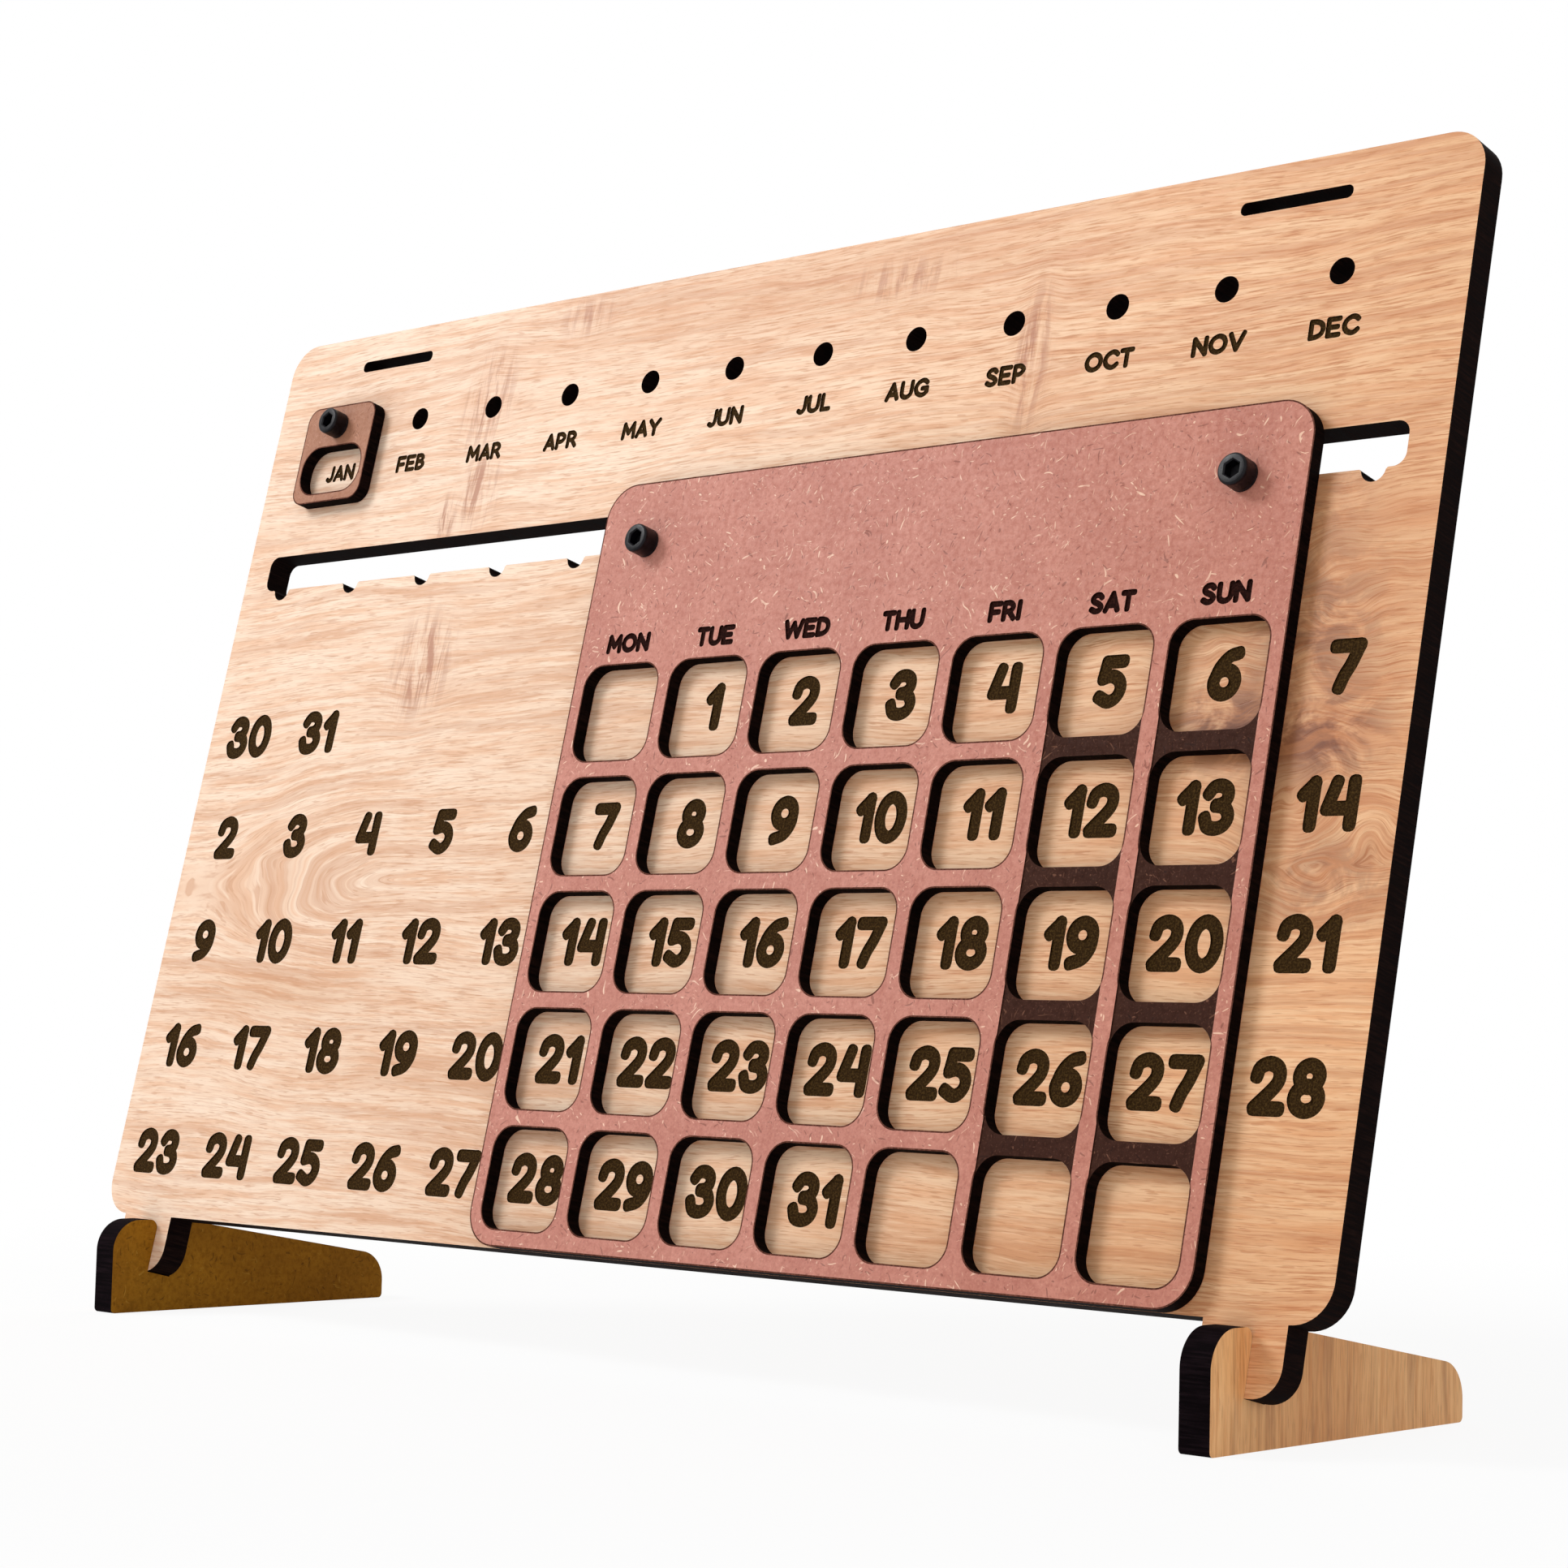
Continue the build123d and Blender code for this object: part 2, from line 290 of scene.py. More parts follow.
def enclosed(points, loops):
    """True for each point inside the first loop and outside the others."""
    low, high = loops[0].min(0), loops[0].max(0)
    near = np.nonzero(((points > low) & (points < high)).all(1))[0]
    inside = np.zeros(len(points), bool)
    if len(near):
        hits = in_loops(points[near], loops[:1])
        for loop in loops[1:]:
            hits &= ~in_loops(points[near], [loop])
        inside[near] = hits
    return inside


def face_edges(node, sheet, level):
    """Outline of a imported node's flat face at a level: its corners and edges."""
    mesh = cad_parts[node].data
    local = sheet.local([v.co for v in mesh.vertices])
    corners, index, count = [], {}, {}
    for polygon in mesh.polygons:
        if any(abs(local[i][2] - level) >= LEVEL_SLACK for i in polygon.vertices):
            continue
        ring_ids = []
        for i in polygon.vertices:
            key = (round(local[i][0], 3), round(local[i][1], 3))
            if key not in index:
                index[key] = len(corners)
                corners.append(key)
            ring_ids.append(index[key])
        for a, b in zip(ring_ids, ring_ids[1:] + ring_ids[:1]):
            pair = (min(a, b), max(a, b))
            count[pair] = count.get(pair, 0) + 1
    return np.array(corners), [pair for pair, n in count.items() if n == 1]


def triangulate(corners, edges):
    """Triangles over a set of fixed edges: new corners and index triples."""
    made = delaunay_2d_cdt([Vector(c) for c in corners], edges, [], 0, 1e-5)
    return np.array([tuple(v) for v in made[0]]), np.array([tuple(t) for t in made[2]])


def chains(edges):
    """Closed runs of corner numbers that the edges make."""
    beside = {}
    for a, b in edges:
        beside.setdefault(a, []).append(b)
        beside.setdefault(b, []).append(a)
    left, found = set(beside), []
    while left:
        run = [min(left)]
        while run[-1] in left:
            left.discard(run[-1])
            run += [n for n in beside[run[-1]] if n in left][:1]
        found.append(run)
    return found


def inset_loops(corners, edges, width):
    """The loops of an outline, moved into the face by the width of a strip."""
    found = []
    for run in chains(edges):
        loop = corners[run]
        step = side_steps(loop, True)
        if not in_outline(loop[:1] + step[:1] * STRIP_PROBE, corners, edges)[0]:
            step = -step
        found.append(loop + step * width)
    return found


def pairs(corners):
    """The three edges of a triangle, each with its lower corner number first."""
    a, b, c = corners
    return [(min(i, j), max(i, j)) for i, j in ((a, b), (b, c), (c, a))]


def counterclockwise(flat, corners):
    """The corners of a triangle in the order that faces out of the sheet."""
    a, b, c = corners
    (ax, ay), (bx, by), (cx, cy) = flat[a], flat[b], flat[c]
    turn = (bx - ax) * (cy - ay) - (by - ay) * (cx - ax)
    return (a, c, b) if turn < 0 else (a, b, c)


def sink_slivers(flat, triangles, depths, kinds):
    """Where strokes cross, a sliver between two sunk triangles sinks with them."""
    beside = {}
    for t, corners in enumerate(triangles):
        for pair in pairs(corners):
            beside.setdefault(pair, []).append(t)
    a, b, c = flat[triangles].transpose(1, 0, 2)
    areas = abs((b - a)[:, 0] * (c - a)[:, 1] - (b - a)[:, 1] * (c - a)[:, 0]) / 2
    for t in np.nonzero((areas < SLIVER_AREA) & (depths == 0))[0]:
        near = [n for pair in pairs(triangles[t]) for n in beside[pair] if depths[n] > 0]
        if len(near) > 1:
            depths[t] = depths[near[0]]
            kinds[t] = kinds[near[0]]


def cut_face(corners, edges, zones, strips, strip_material):
    """A face cut along its zones and strips: corners, triangles, their depths and materials."""
    all_corners = [tuple(c) for c in corners]
    all_edges = list(edges)
    for loop in [loop for loops, depth, material in zones for loop in loops] + strips:
        base = len(all_corners)
        all_corners += [tuple(p) for p in loop]
        all_edges += [(base + k, base + (k + 1) % len(loop)) for k in range(len(loop))]
    flat, triangles = triangulate(all_corners, all_edges)
    triangles = triangles[in_outline(flat[triangles].mean(1), corners, edges)]
    centres = flat[triangles].mean(1)
    depths = np.zeros(len(triangles))
    kinds = np.full(len(triangles), FACE)
    for loops, depth, material in zones:
        hit = enclosed(centres, loops)
        depths[hit] = depth
        kinds[hit] = material
    sink_slivers(flat, triangles, depths, kinds)
    if strips:
        in_strip = ~in_loops(centres, strips)
        kinds[in_strip & (kinds == FACE)] = strip_material
    return flat, triangles, depths, kinds


class Shell:
    """Faces of a sheet, on corners that are numbered flat and stand at several levels."""

    def __init__(self, flat):
        self.flat = flat
        self.points = []
        self.faces = []
        self.tags = []
        self.numbers = {}
        self.levels = {}

    def point(self, i, level):
        """Number of the point of corner i at a level."""
        key = (i, round(level, 4))
        if key not in self.numbers:
            self.numbers[key] = len(self.points)
            self.points.append((self.flat[i][0], self.flat[i][1], level))
            self.levels.setdefault(i, set()).add(level)
        return self.numbers[key]

    def side(self, i, start, end):
        """Points down or up the edge of a wall, with those of the faces that end between."""
        low, high = sorted((start, end))
        between = sorted(z for z in self.levels[i] if low < z < high)
        if start > end:
            between.reverse()
        return [self.point(i, z) for z in (start, *between, end)]

    def add(self, point_ids, material):
        self.faces.append(point_ids)
        self.tags.append(int(material))

    def wall(self, a, b, top, bottom, material):
        self.add(self.side(a, top, bottom) + self.side(b, bottom, top), material)


def add_piece(name, points, faces, materials, tags):
    """A smooth-shaded mesh in the scene. tags: the material number of each face."""
    mesh = bpy.data.meshes.new(name)
    mesh.from_pydata([tuple(p) for p in points], [], faces)
    for material in materials:
        mesh.materials.append(material)
    mesh.polygons.foreach_set("material_index", tags)
    mesh.polygons.foreach_set("use_smooth", [True] * len(faces))
    mesh.update()
    piece = bpy.data.objects.new(name, mesh)
    bpy.context.scene.collection.objects.link(piece)
    return piece


def dress(piece, node, body):
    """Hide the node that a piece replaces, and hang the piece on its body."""
    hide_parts(node)
    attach(piece, body)


def make_sheet(name, node, sheet, front, back, zones, materials, strip_width=0.0):
    """A sheet rebuilt from its packed outline, with zones sunk into its front face.

    zones: (loops, depth, material number) for each sunk area. strip_width is that of the
    charred strip along the cuts, if the sheet has one.
    """
    corners, edges = face_edges(node, sheet, front)
    strips = inset_loops(corners, edges, strip_width) if strip_width else []
    flat, triangles, depths, kinds = cut_face(
        corners, edges, zones, strips, len(materials) - 1
    )
    shell = Shell(flat)
    level_beside = {}
    for triangle, depth, material in zip(triangles, depths, kinds):
        a, b, c = counterclockwise(flat, triangle)
        level = round(front - depth, 4)
        shell.add([shell.point(i, level) for i in (a, b, c)], material)
        for pair in ((a, b), (b, c), (c, a)):
            level_beside[pair] = level
    rim = []
    for (a, b), level in level_beside.items():
        other = level_beside.get((b, a))
        if other is None:
            rim.append((a, b))
            shell.wall(a, b, level, back, WALL)
        elif level > other:
            shell.wall(a, b, level, other, SUNK_WALL)

    rim_ids = sorted({i for pair in rim for i in pair})
    renumber = {i: k for k, i in enumerate(rim_ids)}
    under, under_triangles = triangulate(
        [tuple(flat[i]) for i in rim_ids], [(renumber[a], renumber[b]) for a, b in rim]
    )
    nearest = [rim_ids[int(np.argmin(((flat[rim_ids] - p) ** 2).sum(1)))] for p in under]
    keep = in_outline(under[under_triangles].mean(1), flat, rim)
    for triangle in under_triangles[keep]:
        a, b, c = counterclockwise(under, triangle)
        shell.add([shell.point(nearest[i], back) for i in (c, b, a)], BACK)
    piece = add_piece(name, sheet.world(shell.points), shell.faces, materials, shell.tags)
    piece.data.set_sharp_from_angle(angle=SHEET_SHARP_ANGLE)
    return piece


# -------- materials
def srgb(r, g, b):
    """Linear colour from 0..255 screen values."""
    return tuple(
        (c / 255 / 12.92) if c <= 10 else ((c / 255 + 0.055) / 1.055) ** 2.4 for c in (r, g, b)
    ) + (1.0,)


class Nodes:
    """Short ways to add nodes to a tree. An input's key is its name or its number."""

    def __init__(self, tree):
        self.tree = tree
        self.tree.nodes.clear()

    def add(self, kind, props=None, **inputs):
        node = self.tree.nodes.new("ShaderNode" + kind)
        for key, value in (props or {}).items():
            setattr(node, key, value)
        for key, value in inputs.items():
            self.put(node, key.replace("_", " "), value)
        return node

    def put(self, node, key, value):
        socket = node.inputs[int(key)] if key.isdigit() else node.inputs[key]
        if isinstance(value, bpy.types.NodeSocket):
            self.tree.links.new(value, socket)
        else:
            socket.default_value = value

    def math(self, operation, a, b=0.0):
        node = self.add("Math", {"operation": operation})
        self.put(node, "0", a)
        self.put(node, "1", b)
        return node.outputs[0]

    def times(self, a, b):
        return self.math("MULTIPLY", a, b)

    def blend(self, share, a, b):
        """Shader a, with a share of shader b."""
        node = self.add("MixShader")
        for key, value in zip("012", (share, a, b)):
            self.put(node, key, value)
        return node.outputs[0]

    def background_rays(self):
        """1 for the rays that see the background: straight, in a reflection or through glass."""
        rays = self.add("LightPath")
        seen = self.math("MAXIMUM", rays.outputs["Is Camera Ray"], rays.outputs["Is Glossy Ray"])
        return self.math("MAXIMUM", seen, rays.outputs["Is Transmission Ray"])


class Paint(Nodes):
    """Builds the nodes of one procedural material."""

    def __init__(self, name, lean=LEAN):
        self.material = bpy.data.materials.new(name)
        self.material.use_nodes = True
        super().__init__(self.material.node_tree)
        self.shader = self.add("BsdfPrincipled")
        self.output = self.add("OutputMaterial", Surface=self.shader.outputs[0])
        place = self.add("TexCoord").outputs["Object"]
        # In millimetres: x across, y into the sheet, z up the sheet
        turned = self.add("Mapping", Vector=place, Rotation=(lean, 0, 0))
        self.place = self.vector("SCALE", turned.outputs[0], scale=1 / MM)

    def vector(self, operation, a, b=None, scale=None):
        node = self.add("VectorMath", {"operation": operation})
        for key, value in (("0", a), ("1", b), ("Scale", scale)):
            if value is not None:
                self.put(node, key, value)
        return node.outputs["Value" if operation == "LENGTH" else "Vector"]

    def stretch(self, place, scale, turn=0.0, move=(0, 0, 0)):
        turned = self.add("Mapping", Vector=place, Rotation=(0, turn, 0), Location=move)
        return self.vector("MULTIPLY", turned.outputs[0], scale)

    def noise(self, place, scale, detail=2.0, roughness=0.5, distortion=0.0, move=(0, 0, 0)):
        """Noise of scale features to a millimetre along each axis."""
        node = self.add(
            "TexNoise", Vector=self.stretch(place, scale, move=move), Scale=1.0,
            Detail=detail, Roughness=roughness, Distortion=distortion,
        )
        return node.outputs[0]

    def fade(self, value, low, high, to_low=0.0, to_high=1.0):
        """Smooth change from to_low to to_high as the value goes from low to high."""
        node = self.add(
            "MapRange", {"interpolation_type": "SMOOTHSTEP"}, Value=value,
            From_Min=low, From_Max=high, To_Min=to_low, To_Max=to_high,
        )
        return node.outputs[0]

    def mix(self, factor, a, b, blend="MIX"):
        node = self.add("Mix", {"data_type": "RGBA", "blend_type": blend})
        for key, value in (("0", factor), ("6", a), ("7", b)):
            self.put(node, key, value)
        return node.outputs[2]

    def parts(self, place):
        return self.add("SeparateXYZ", Vector=place).outputs

    def join(self, x, y, z):
        return self.add("CombineXYZ", X=x, Y=y, Z=z).outputs[0]

    def nearness(self, x, up, spot):
        """1 in the middle of an oval spot, 0 far from it, and the height in half heights."""
        middle_x, middle_up, half_x, half_height = spot
        dx = self.math("DIVIDE", self.math("SUBTRACT", x, middle_x), half_x)
        dy = self.math("DIVIDE", self.math("SUBTRACT", up, middle_up), half_height)
        far = self.math("ADD", self.times(dx, dx), self.times(dy, dy))
        return self.math("EXPONENT", self.times(far, -1.0)), dy

    def finish(self, colour, roughness, height=None, depth=0.05, gloss=0.4, strength=1.0):
        """depth: height of the relief in millimetres."""
        self.put(self.shader, "Base Color", colour)
        self.put(self.shader, "Roughness", roughness)
        self.shader.inputs["Specular IOR Level"].default_value = gloss
        if height is not None:
            bump = self.add("Bump", Strength=strength, Distance=depth * MM, Height=height)
            self.put(self.shader, "Normal", bump.outputs[0])
        return self.material


# Spots on the oak faces, in mm: x, y, half width, half height and strength
BOARD_KNOTS = (
    (-92, -60, 9, 11, 0.85),
    (-88, 2, 8, 12, 0.7),
    (-85, -20, 6, 9, 0.8),
    (-94, -26, 4, 6, 0.7),
    (67, -8, 4, 14, 0.8),
    (30, 14, 16, 5, 0.5),
    (-60, 18, 9, 5, 0.5),
)
# Stains beside the week frame's right end, with its painted shadow
BOARD_STAINS_AND_SHADOW = (
    (145, -87, 10, 7, 1.0),
    (126, -84, 14, 7, 1.0),
    (140, -68, 12, 13, 0.6),
    (148, -112, 14, 8, 0.45),
    (138, -44, 8, 11, 0.35),
)
# Broad tones, and one painted shadow: the strength is below 0 where the wood is paler
BOARD_TONES_AND_SHADE = (
    (-2, 15, 76, 9, 0.95),
    (98, 8, 26, 12, -0.5),
    (-118, -134, 34, 7, 0.9),
    (-60, -152, 50, 5, 0.4),
    (146, -132, 28, 26, -1.0),
    (60, -176, 60, 20, -0.6),
    (-6, -18, 66, 13, -0.5),
    (-20, -182, 60, 5, 0.4),
    # Painted shadow of the week frame, beside its right end
    (150, -54, 16, 22, 0.5),
)
# The same on a foot, whose grain runs upright: height and depth in place of x and y
FOOT_TONES = (
    (12, -6, 60, 15, 0.8),
    (12, 12, 60, 3, -0.5),
    (12, -33, 60, 5, -0.6),
    (12, 44, 60, 8, -0.4),
)
# Where the grain swirls, with how far it is thrown in place of a strength
BOARD_SWIRLS = (
    (130, -66, 26, 18, 30.0),
    (150, -104, 18, 14, 34.0),
)
# The pith that the grain arches round: x where the arches start, y, and their half height
BOARD_PITH = (-92, -109, 16)
# Tints of the broad tones and their painted shade, and of the board's right end: warmer wood with
# painted shade
DARK_TONE = (.86, .75, .66, 1)
PALE_TONE = (1.1, 1.15, 1.2, 1)
RIGHT_END_SHADE_AND_TINT = (.905, .68, .455, 1)


def bend_grain(g, place, x, up, figure, pith, swirls, knots):
    """Height to read each point's grain at, and how near arches, swirls and knots are."""
    wander = g.noise(place, (.011, 1, .034), 2, .5, move=(23, 0, 4))
    bent = g.math("ADD", up, g.times(g.math("SUBTRACT", wander, .5), figure))
    arches, restless, knot = 0.0, 0.0, 0.0
    if pith:
        start, level, close = pith
        ragged = g.noise(place, (.04, 1, .09), 1, .4, move=(15, 0, 2))
        past = g.math("SUBTRACT", start, g.math("ADD", x, g.times(ragged, 24.0)))
        rise = g.times(g.fade(past, -22, 46), close)
        off = g.math("SUBTRACT", bent, level)
        squares = g.math("ADD", g.times(off, off), g.times(rise, rise))
        bent = g.math("SQRT", squares)
        arches = g.nearness(x, up, (start - 20, level, 28, 14))[0]
    for *spot, throw in swirls:
        near = g.nearness(x, up, spot)[0]
        twist = g.noise(place, (.045, 1, .05), 2, .45, move=(61, 0, 12))
        push = g.times(g.math("SUBTRACT", twist, .5), near)
        bent = g.math("ADD", bent, g.times(push, throw))
        restless = g.math("MAXIMUM", restless, near)
    for *spot, strength in knots:
        near, height = g.nearness(x, up, spot)
        push = g.times(g.times(near, height), -spot[3] * 0.35 * strength)
        bent = g.math("ADD", bent, push)
        knot = g.math("MAXIMUM", knot, g.times(near, strength))
    return bent, arches, restless, knot


def paint_knots(g, place, colour, knot):
    """Upright smears of light and shade on the knots."""
    smear = g.noise(place, (.34, 1, .045), 4, .66, .5, move=(0, 0, 3))
    shade = g.times(g.fade(smear, .47, .6), g.fade(knot, .05, .7))
    shine = g.times(g.fade(smear, .47, .38), g.fade(knot, .1, .8))
    colour = g.mix(g.times(knot, .4), colour, srgb(218, 168, 138))
    colour = g.mix(g.times(shade, .85), colour, srgb(186, 130, 104))
    return g.mix(g.times(shine, .5), colour, srgb(255, 232, 208))


def paint_stains(g, place, x, up, colour, stains_and_shadow):
    """Brown clouds, darker in their middle: stains, and painted shadow of the week frame beside its
    right end.
    """
    cloud = g.noise(place, (.09, 1, .13), 4, .66, .6)
    for *spot, strength in stains_and_shadow:
        near = g.times(g.nearness(x, up, spot)[0], strength)
        soak = g.times(near, g.fade(cloud, .26, .5))
        colour = g.mix(g.times(soak, .85), colour, srgb(184, 128, 98))
        core = g.times(near, g.fade(cloud, .4, .58))
        colour = g.mix(g.times(core, .85), colour, srgb(108, 64, 48))
    return colour


def oak(name, light, mid, dark, tones, figure, fibre, knots=(), stains_and_shadow=(), swirls=(), pith=(),
        lean=LEAN, upright=False, sheet_origin=BOARD.origin):
    """Oak-print face: short fine grain, arches round the pith, knots, and stains with painted
    shadow.

    figure: how far the grain wanders, in millimetres. fibre: strength of the fine dark grain.
    """
    g = Paint(name, lean)
    x, inward, up = g.parts(g.place)
    if upright:
        # The grain runs up the piece
        x, up = up, inward
    up = g.math("SUBTRACT", up, (Matrix.Rotation(lean, 3, "X") @ Vector(sheet_origin)).z / MM)
    place = g.join(x, 0.0, up)
    bent, arches, restless, knot = bend_grain(g, place, x, up, figure, pith, swirls, knots)
    grain = g.join(x, 0.0, bent)
    bands = g.noise(grain, (.005, 1, .13), 3, .6)
    streaks = g.noise(grain, (.035, 1, .7), 4, .66)
    fibres = g.noise(grain, (.1, 1, 2.3), 3, .62)
    fine = g.noise(grain, (.16, 1, 4.6), 2, .6, move=(9, 0, 30))
    pores = g.fade(g.noise(grain, (.2, 1, 2.7), 1, .5, move=(40, 0, 9)), .6, .68)
    pale = g.fade(g.noise(grain, (.09, 1, 1.5), 2, .55, move=(7, 0, 70)), .56, .66)
    broad = g.noise(grain, (.014, 1, .3), 3, .55, move=(17, 0, 88))
    colour = g.mix(g.fade(streaks, .42, .62), light, mid)
    colour = g.mix(g.fade(bands, .46, .66, 0, .5), colour, mid)
    colour = g.mix(g.fade(bands, .58, .74, 0, .35), colour, dark)
    colour = g.mix(g.fade(broad, .5, .64, 0, .4), colour, dark)
    colour = g.mix(g.fade(broad, .46, .34, 0, .5), colour, light)
    if pith:
        rings = g.noise(grain, (.004, 1, .4), 2, .6, move=(70, 0, 50))
        rings = g.times(g.fade(rings, .44, .6), arches)
        colour = g.mix(g.times(rings, .6), colour, dark)
    colour = g.mix(g.times(pale, .6), colour, light)

    # The fine grain is calmer on the pale tones, and stronger in the swirls and to the right
    calm = g.fade(g.noise(place, (.02, 1, .07), 2, .5, move=(0, 0, 44)), .35, .65, .35, 1)
    # Broad tones, and on the board a painted shadow beside the week frame
    for *spot, strength in tones:
        near = g.times(g.nearness(x, up, spot)[0], abs(strength))
        colour = g.mix(near, colour, DARK_TONE if strength > 0 else PALE_TONE, "MULTIPLY")
        if strength < 0:
            calm = g.times(calm, g.fade(near, 0, 1, 1, .4))
    calm = g.times(calm, g.fade(x, -40, 150, 1, 1.6))
    calm = g.times(calm, g.fade(restless, 0, 1, 1, 1.5))
    flare = g.fade(g.noise(grain, (.05, 1, .34), 3, .6, move=(33, 0, 21)), .46, .62)
    colour = g.mix(g.times(g.times(flare, restless), .75), colour, dark)
    lines = g.times(g.fade(fibres, .5, .66, 0, .72 * fibre), calm)
    colour = g.mix(lines, colour, dark)
    colour = g.mix(g.fade(fine, .52, .7, 0, .38 * fibre), colour, dark)
    colour = g.mix(g.times(pores, .55 * fibre), colour, dark)
    relief = g.math("SUBTRACT", fibres, g.times(pores, .8))
    if knots:
        colour = paint_knots(g, place, colour, knot)
    # Stains, and painted shadow of the week frame
    colour = paint_stains(g, place, x, up, colour, stains_and_shadow)
    if knots:
        # Long brown lines run in from the right end
        lines = g.fade(g.noise(grain, (.012, 1, .62), 3, .55, move=(81, 0, 5)), .5, .62)
        lines = g.times(lines, g.fade(x, 50, 150, 0, .5))
        colour = g.mix(lines, colour, dark)
        # The right end is warmer wood, and painted shade darkens it
        colour = g.mix(g.fade(x, -120, 180), colour, RIGHT_END_SHADE_AND_TINT, "MULTIPLY")
    return g.finish(colour, g.fade(fibres, .3, .7, .42, .56), relief, .06, .35, .5)


# Layers of fibres, in mm: mask, ways they lie, first turn, length, width, size, share and seed
FIBRE_LAYERS = (
    ("pale", 8, .2, 14.0, 1.3, .14, .17, 1),
    ("pale", 3, .7, 44.0, 2.2, .11, .11, 31),
    ("fine", 5, .5, 6.5, .75, .15, .24, 11),
    ("dark", 5, .9, 8.0, 1.2, .15, .42, 21),
)
FIBRE_BEND = 7.0


def dashes(g, place, turn, length, width, size, share, seed):
    """Scattered short fibres lying one way: 1 on a fibre, 0 off it."""
    place = g.stretch(place, (1 / length, 1, 1 / width), turn, (seed * 31, 0, seed * 17))
    cell = g.add("TexVoronoi", Vector=place, Scale=1.0)
    lit = g.math("GREATER_THAN", g.parts(cell.outputs["Color"])[0], 1 - share)
    return g.times(g.fade(cell.outputs["Distance"], size, size * .8), lit)


def fibreboard(name, base, deep, pale, fleck, fibre_strength, lean=LEAN, gloss=.3, far=None,
               sideways=False):
    """Bare fibreboard: a cloudy ground with pale fibres lying every way and dark flecks.

    far: a tint of painted shade that darkens the sheet toward its right end. sideways: the sheet
    stands across the x axis.
    """
    g = Paint(name, lean)
    x, inward, up = g.parts(g.place)
    if sideways:
        x = inward
    flat = g.join(x, 0.0, up)
    wavy = g.add("TexNoise", Vector=g.stretch(flat, (.13, 1, .13)), Scale=1.0, Detail=1.0)
    bend = g.vector("SUBTRACT", wavy.outputs["Color"], (.5, .5, .5))
    curved = g.vector("ADD", flat, g.vector("SCALE", bend, scale=FIBRE_BEND))
    cloud = g.noise(flat, (.07, 1, .07), 4, .6)
    mottle = g.noise(flat, (.8, 1, .8), 4, .6)
    grit = g.noise(flat, (2.2, 1, 2.2), 2, .55, move=(3, 0, 8))
    ground = g.mix(g.fade(cloud, .3, .7, 0, .45), base, deep)
    ground = g.mix(g.fade(mottle, .4, .68, 0, .5), ground, deep)
    ground = g.mix(g.fade(grit, .54, .74, 0, .25), ground, fleck)
    ground = g.mix(g.fade(grit, .44, .28, 0, .2), ground, pale)
    masks = {"pale": 0.0, "fine": 0.0, "dark": 0.0}
    for mask, ways, first_turn, length, width, size, share, seed in FIBRE_LAYERS:
        for k in range(ways):
            turn = k * pi / ways + first_turn
            layer = dashes(g, curved, turn, length, width, size, share, seed + k)
            masks[mask] = g.math("MAXIMUM", masks[mask], layer)
    strength = g.fade(g.noise(flat, (.5, 1, .5), 1, .5, move=(5, 0, 5)), .3, .6, .35, 1)
    strong = g.times(g.times(masks["pale"], strength), fibre_strength)
    colour = g.mix(g.times(masks["dark"], .5), ground, fleck)
    colour = g.mix(g.times(masks["fine"], .5 * fibre_strength), colour, pale)
    colour = g.mix(strong, colour, pale)
    # Painted shade toward the right end
    if far:
        colour = g.mix(g.fade(x, 30, 130), colour, far, "MULTIPLY")
    relief = g.math("ADD", mottle, g.times(masks["pale"], .6))
    return g.finish(colour, g.fade(mottle, .3, .7, .5, .7), relief, .05, gloss, .5)


def burnt(name, dark, light, gloss, lean=LEAN, across=(2.2, .14, 2.2)):
    """Laser-cut wall: charred, with fine lines that run through the sheet."""
    g = Paint(name, lean)
    lines = g.noise(g.place, across, 3, .6)
    soot = g.noise(g.place, (.12, .12, .12), 3, .6)
    colour = g.mix(g.fade(lines, .35, .75), dark, light)
    colour = g.mix(g.fade(soot, .4, .75, 0, .5), colour, dark)
    return g.finish(colour, g.fade(lines, .3, .7, .7, .85), lines, .06, gloss, .6)


def engraving(name, dark, light):
    """Floor of the burnt lettering, with the fine lines of the laser's passes."""
    g = Paint(name)
    passes = g.noise(g.place, (.35, 1, 5.5), 2, .5)
    grit = g.noise(g.place, (2.4, 1, 2.4), 3, .7)
    colour = g.mix(g.fade(grit, .4, .72), dark, light)
    colour = g.mix(g.fade(passes, .55, .75, 0, .5), colour, dark)
    return g.finish(colour, .75, g.math("ADD", passes, grit), .08, .04, .7)


def metal(name, dark, light, metallic, rough_low, rough_high, gloss=.45):
    """Machined fastener: fine turning marks and patchy finish."""
    g = Paint(name)
    patches = g.noise(g.place, (.9, .9, .9), 4, .65)
    marks = g.noise(g.place, (6, 6, 6), 2, .5)
    colour = g.mix(g.fade(patches, .35, .7), dark, light)
    g.shader.inputs["Metallic"].default_value = metallic
    rough = g.fade(patches, .3, .7, rough_low, rough_high)
    rough = g.math("ADD", rough, g.math("MULTIPLY", marks, .06))
    return g.finish(colour, rough, marks, .012, gloss, .5)


